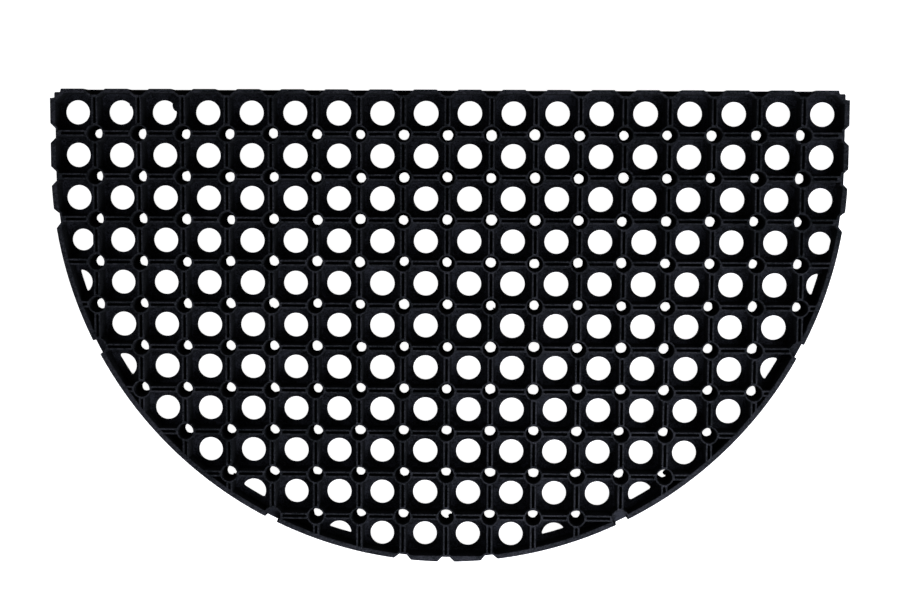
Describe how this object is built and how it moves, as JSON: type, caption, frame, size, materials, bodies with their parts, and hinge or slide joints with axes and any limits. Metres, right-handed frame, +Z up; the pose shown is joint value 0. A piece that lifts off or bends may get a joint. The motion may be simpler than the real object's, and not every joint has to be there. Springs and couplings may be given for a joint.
{
  "type": "half round doormat",
  "caption": "Half-round open mat of moulded black rubber: a grid of square cells with round drain holes, and small tubes where the cells meet.",
  "frame": {"origin": "on the floor, under the middle of the mat's bounding box", "axes": "+X along the straight edge, +Y towards the straight edge, +Z up"},
  "size_m": [0.75, 0.45, 0.022],
  "materials": {
    "black_rubber": "moulded black rubber with a dull sheen, a little greyer on the tops of the walls"
  },
  "bodies": {
    "root": {"mat": "black_rubber"}
  },
  "joints": []
}
